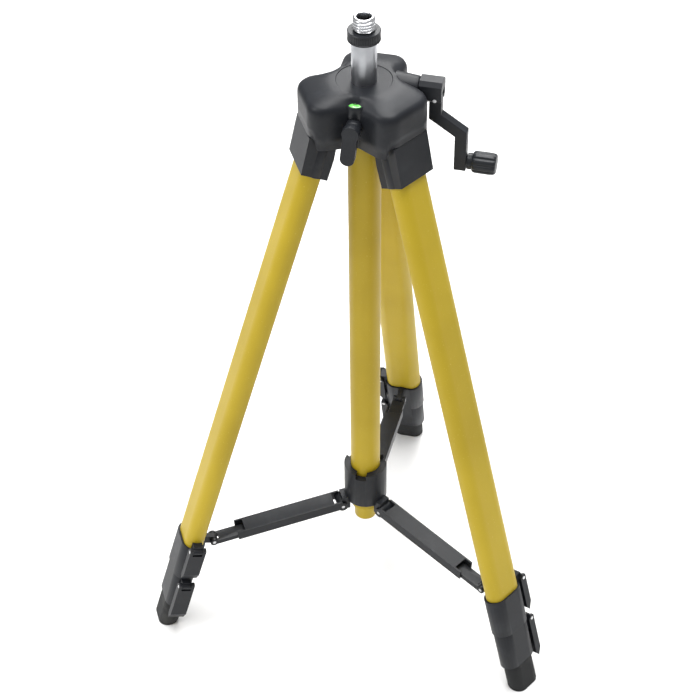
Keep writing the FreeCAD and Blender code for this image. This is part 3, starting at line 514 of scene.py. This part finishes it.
def build_bubble(build):
    """Flat bubble, a little off the middle."""
    spot = (LEVEL_SPOT[0] + BUBBLE_ASIDE * MM, LEVEL_SPOT[1] + BUBBLE_BACK * MM, BUBBLE_HIGH * MM)
    bmesh.ops.create_uvsphere(build, u_segments=32, v_segments=16, radius=BUBBLE_RADIUS * MM)
    bmesh.ops.scale(build, vec=(1, 1, BUBBLE_FLATNESS), verts=build.verts)
    bmesh.ops.translate(build, vec=spot, verts=build.verts)


def green_liquid():
    """Bright green liquid behind a clear face."""
    material, shader, vector = new_material("green_liquid", (0.13, 0.56, 0.09), 0.12, Coat_Weight=0.8,
                                            Coat_Roughness=0.05)
    tree = material.node_tree
    glow = spread(tree, noise(tree, vector, 260.0, 1.0), 0.35, 0.65)
    tree.links.new(mixed(material, glow, (0.10, 0.50, 0.07), (0.24, 0.68, 0.16)),
                   shader.inputs["Base Color"])
    return material


def pale_bubble():
    """Paler green of the bubble."""
    material, shader, vector = new_material("pale_bubble", (0.45, 0.85, 0.38), 0.08, Coat_Weight=0.6)
    tree = material.node_tree
    shine = spread(tree, noise(tree, vector, 400.0, 1.0), 0.4, 0.6)
    tree.links.new(mixed(material, shine, (0.36, 0.78, 0.30), (0.60, 0.92, 0.52)),
                   shader.inputs["Base Color"])
    return material


def build_level():
    """The bubble level: its cup, its liquid, the ring and the bubble."""
    cup = piece_from("level_cup", build_level_cup, "frame", BLACK_SMOOTH, smooth=35)
    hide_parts("level_housing")
    liquid = piece_from("level_liquid", build_vial, "frame", green_liquid(), smooth=40)
    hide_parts("level_vial")
    piece_from("level_target_ring", build_target_ring, "frame", BLACK_SMOOTH)
    piece_from("level_bubble", build_bubble, "frame", pale_bubble())


# ---------------------------------------------------------------- stud and ring

THREAD_PITCH = 25.4 / 11
THREAD_RADIUS, THREAD_DEPTH = 7.9375, 1.25
THREAD_STEPS, THREAD_ROWS = 72, 84
ROOT_SHARE, FLANK_SHARE = 0.12, 0.66
STUD_LOW, STUD_HIGH, STUD_BORE = 567.0, 577.5, 5.2
NOSE_RADIUS, NOSE_LENGTH, NECK_RADIUS, RUN_OUT = 6.55, 1.3, 6.7, 1.0
KNURL_TEETH, KNURL_DEPTH, KNURL_STEPS = 48, 0.34, 384


def thread_radius(turn, level):
    """Radius of a right-handed 60 degree thread, with flat crest and flat root."""
    phase = (level / THREAD_PITCH - turn / (2 * math.pi)) % 1.0
    wave = abs(phase - 0.5) * 2
    shape = min(max((wave - ROOT_SHARE) / FLANK_SHARE, 0.0), 1.0)
    return THREAD_RADIUS - THREAD_DEPTH * (1 - shape) if wave > 0 else THREAD_RADIUS


def build_stud(build):
    """Threaded stud with a chamfered nose and a bore through it."""
    levels = [STUD_LOW + (STUD_HIGH - STUD_LOW) * row / THREAD_ROWS for row in range(THREAD_ROWS + 1)]
    rings = [ring_of(build, lambda turn: STUD_BORE * MM, lambda turn: STUD_LOW * MM, THREAD_STEPS)]
    for level in levels:
        nose = min(1.0, (STUD_HIGH - level) / NOSE_LENGTH)
        run_out = min(1.0, (level - STUD_LOW) / RUN_OUT)

        def reach(turn, z=level, nose=nose, run_out=run_out):
            cut = thread_radius(turn, z)
            pointed = NOSE_RADIUS + (cut - NOSE_RADIUS) * nose
            return (pointed * run_out + NECK_RADIUS * (1 - run_out)) * MM
        rings.append(ring_of(build, reach, lambda turn, z=level: z * MM, THREAD_STEPS))
    for radius, level in ((5.75, STUD_HIGH), (5.3, 577.2), (STUD_BORE, 576.8), (STUD_BORE, STUD_LOW)):
        rings.append(ring_of(build, lambda turn, r=radius: r * MM, lambda turn, z=level: z * MM,
                             THREAD_STEPS))
    skin_rings(build, rings)


def build_knurled_ring(build):
    """Ring with straight knurling between two plain lips."""
    rows = [(10.6, 558.8, 0), (11.5, 558.8, 0), (11.95, 559.2, 0), (11.95, 560.0, 0), (11.6, 560.25, 0),
            (11.65, 560.5, 1), (11.65, 565.2, 1), (11.6, 565.5, 0), (11.95, 565.8, 0), (11.95, 566.5, 0),
            (11.5, 567.0, 0), (8.6, 567.0, 0), (8.3, 566.8, 0), (5.2, 566.8, 0), (5.2, 558.8, 0)]
    rings = []
    for radius, level, cut in rows:
        def reach(turn, r=radius, cut=cut):
            ridge = abs((turn * KNURL_TEETH / (2 * math.pi)) % 1.0 - 0.5) * 2
            return (r + cut * KNURL_DEPTH * (ridge - 0.5)) * MM
        rings.append(ring_of(build, reach, lambda turn, z=level: z * MM, KNURL_STEPS))
    skin_rings(build, rings)
    bmesh.ops.bridge_loops(build, edges=rings[0] + rings[-1])


def build_adapter():
    """The threaded stud and the ring under it."""
    stud = piece_from("stud_thread", build_stud, "adapter", PLATED, smooth=70)
    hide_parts("threaded_stud")
    ring = piece_from("knurl_ring", build_knurled_ring, "adapter", BLACK_SMOOTH, smooth=25)
    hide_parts("knurled_ring")


# ---------------------------------------------------------------- crank knob

KNOB_SPOT = (0.0, 0.0134, 0.458)
KNOB_BORE, KNOB_BORE_END = 3.1, 88.0
FLUTES, FLUTE_DEPTH, KNOB_STEPS = 10, 0.85, 240


def build_knob(build):
    """Fluted grip with a soft end and a stepped neck."""
    rows = [(KNOB_BORE, 74.6, 0), (5.6, 74.6, 0), (6.2, 75.1, 0), (6.2, 78.0, 0), (6.3, 78.4, 0),
            (7.4, 78.9, 0.3), (8.15, 79.9, 0.8), (8.4, 81.5, 1), (8.45, 86.0, 1), (8.4, 92.5, 1),
            (8.15, 94.6, 0.85), (7.5, 95.8, 0.4), (6.4, 96.35, 0.1), (4.5, 96.5, 0), (1.0, 96.5, 0)]
    rings = []
    for radius, level, cut in rows:
        def reach(turn, r=radius, cut=cut):
            dip = 0.5 + 0.5 * math.cos(turn * FLUTES)
            return (r - cut * FLUTE_DEPTH * dip ** 3) * MM
        rings.append(ring_of(build, reach, lambda turn, z=level: z * MM, KNOB_STEPS))
    skin_rings(build, rings)
    bmesh.ops.contextual_create(build, geom=rings[-1])
    inner = ring_of(build, lambda turn: KNOB_BORE * MM, lambda turn: KNOB_BORE_END * MM, KNOB_STEPS)
    bmesh.ops.bridge_loops(build, edges=rings[0] + inner)
    bmesh.ops.contextual_create(build, geom=inner)
    bmesh.ops.transform(build, matrix=along((1, 0, 0), KNOB_SPOT), verts=build.verts)


# ---------------------------------------------------------------- the CAD pieces

def finish_cad_pieces():
    """Every CAD node that stays gets its finish; the moulded and tumbled ones also get their mould or
    tumble rounding.
    """
    paint("centre_tube", YELLOW)
    soften("centre_tube_plug", YELLOW_PLUG, 0.6 * MM)
    paint("leg_hinge_pins", STEEL)
    paint("column_bush", NYLON)
    paint("column", ALUMINIUM)
    paint("swivel_spigot", ALUMINIUM)
    paint("crank_shaft", STEEL)
    soften("crank_fork", BLACK, 0.8 * MM)
    soften("fold_pin", STEEL, 0.25 * MM)
    soften("crank_arm", BLACK, 1.3 * MM, segments=4)
    soften("lock_lever", BLACK, 1.4 * MM, segments=4)
    paint("lock_screw", STEEL)
    soften("hub_collar", BLACK, 0.7 * MM)
    soften("hub_pins", STEEL, 0.3 * MM)
    for side in SIDES:
        for node in ("upper_tube", "middle_tube", "inner_tube"):
            paint("%s_%s" % (side, node), YELLOW)
        soften(side + "_leg_cap", BLACK, 1.1 * MM, segments=4)
        soften(side + "_upper_collar", BLACK, 0.7 * MM)
        soften(side + "_lower_collar", BLACK, 0.7 * MM)
        soften(side + "_upper_lever", BLACK, 0.9 * MM)
        soften(side + "_lower_lever", BLACK, 0.9 * MM)
        soften(side + "_upper_pins", STEEL, 0.25 * MM)
        soften(side + "_lower_pin", STEEL, 0.25 * MM)
        soften(side + "_foot", RUBBER, 1.2 * MM, segments=4)
        soften(side + "_brace_channel", BLACK, 0.5 * MM)
        soften(side + "_brace_fork", BLACK, 0.4 * MM)


# ---------------------------------------------------------------- stage

def add_area(name, spot, aim, size, power):
    """A round soft light at a spot, aimed at another."""
    light = bpy.data.lights.new(name, "AREA")
    light.shape = "DISK"
    light.size = size
    light.energy = power
    lamp = bpy.data.objects.new(name, light)
    bpy.context.collection.objects.link(lamp)
    lamp.location = spot
    lamp.rotation_euler = (Vector(aim) - Vector(spot)).to_track_quat("-Z", "Y").to_euler()


FLOOR_SIZE, FLOOR_TONE, FLOOR_ROUGH = 6.0, (0.88, 0.88, 0.88, 1), 0.9
SKY_STRENGTH = 0.42
LIGHT_AIM = (0, 0, 0.3)
CAMERA_SPOT, CAMERA_AXIS = (0.243248, -1.011506, 1.202211), (-0.17030, 0.72408, -0.66836)
CAMERA_LENS, CAMERA_SHIFT = 88.8, -0.0307


def set_stage():
    """Plain pale floor, soft light from all round and the camera."""
    mesh = bpy.data.meshes.new("floor")
    build = bmesh.new()
    bmesh.ops.create_grid(build, x_segments=1, y_segments=1, size=FLOOR_SIZE)
    build.to_mesh(mesh)
    build.free()
    floor = bpy.data.objects.new("floor", mesh)
    bpy.context.collection.objects.link(floor)
    pale = bpy.data.materials.new("pale_floor")
    pale.use_nodes = True
    shader = pale.node_tree.nodes["Principled BSDF"]
    shader.inputs["Base Color"].default_value = FLOOR_TONE
    shader.inputs["Roughness"].default_value = FLOOR_ROUGH
    mesh.materials.append(pale)

    world = bpy.data.worlds.new("studio")
    world.use_nodes = True
    world.node_tree.nodes["Background"].inputs["Color"].default_value = (1, 1, 1, 1)
    world.node_tree.nodes["Background"].inputs["Strength"].default_value = SKY_STRENGTH
    bpy.context.scene.world = world
    bpy.context.scene.view_settings.view_transform = "Standard"
    add_area("top", (0.0, 0.2, 2.3), LIGHT_AIM, 1.8, 62)
    add_area("key", (-1.3, -0.9, 1.7), LIGHT_AIM, 0.9, 16)
    add_area("back", (-0.1, 1.7, 1.9), LIGHT_AIM, 1.2, 34)

    camera = bpy.data.cameras.new("camera")
    camera.sensor_width = 36
    camera.lens = CAMERA_LENS
    camera.shift_x = CAMERA_SHIFT
    view = bpy.data.objects.new("camera", camera)
    bpy.context.collection.objects.link(view)
    view.location = CAMERA_SPOT
    view.rotation_euler = Vector(CAMERA_AXIS).to_track_quat("-Z", "Y").to_euler()
    bpy.context.scene.camera = view


build_crown()
build_level()
build_adapter()
knob = piece_from("knob_grip", build_knob, "crank_knob", BLACK_SMOOTH, smooth=35)
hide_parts("crank_knob")
finish_cad_pieces()
set_stage()
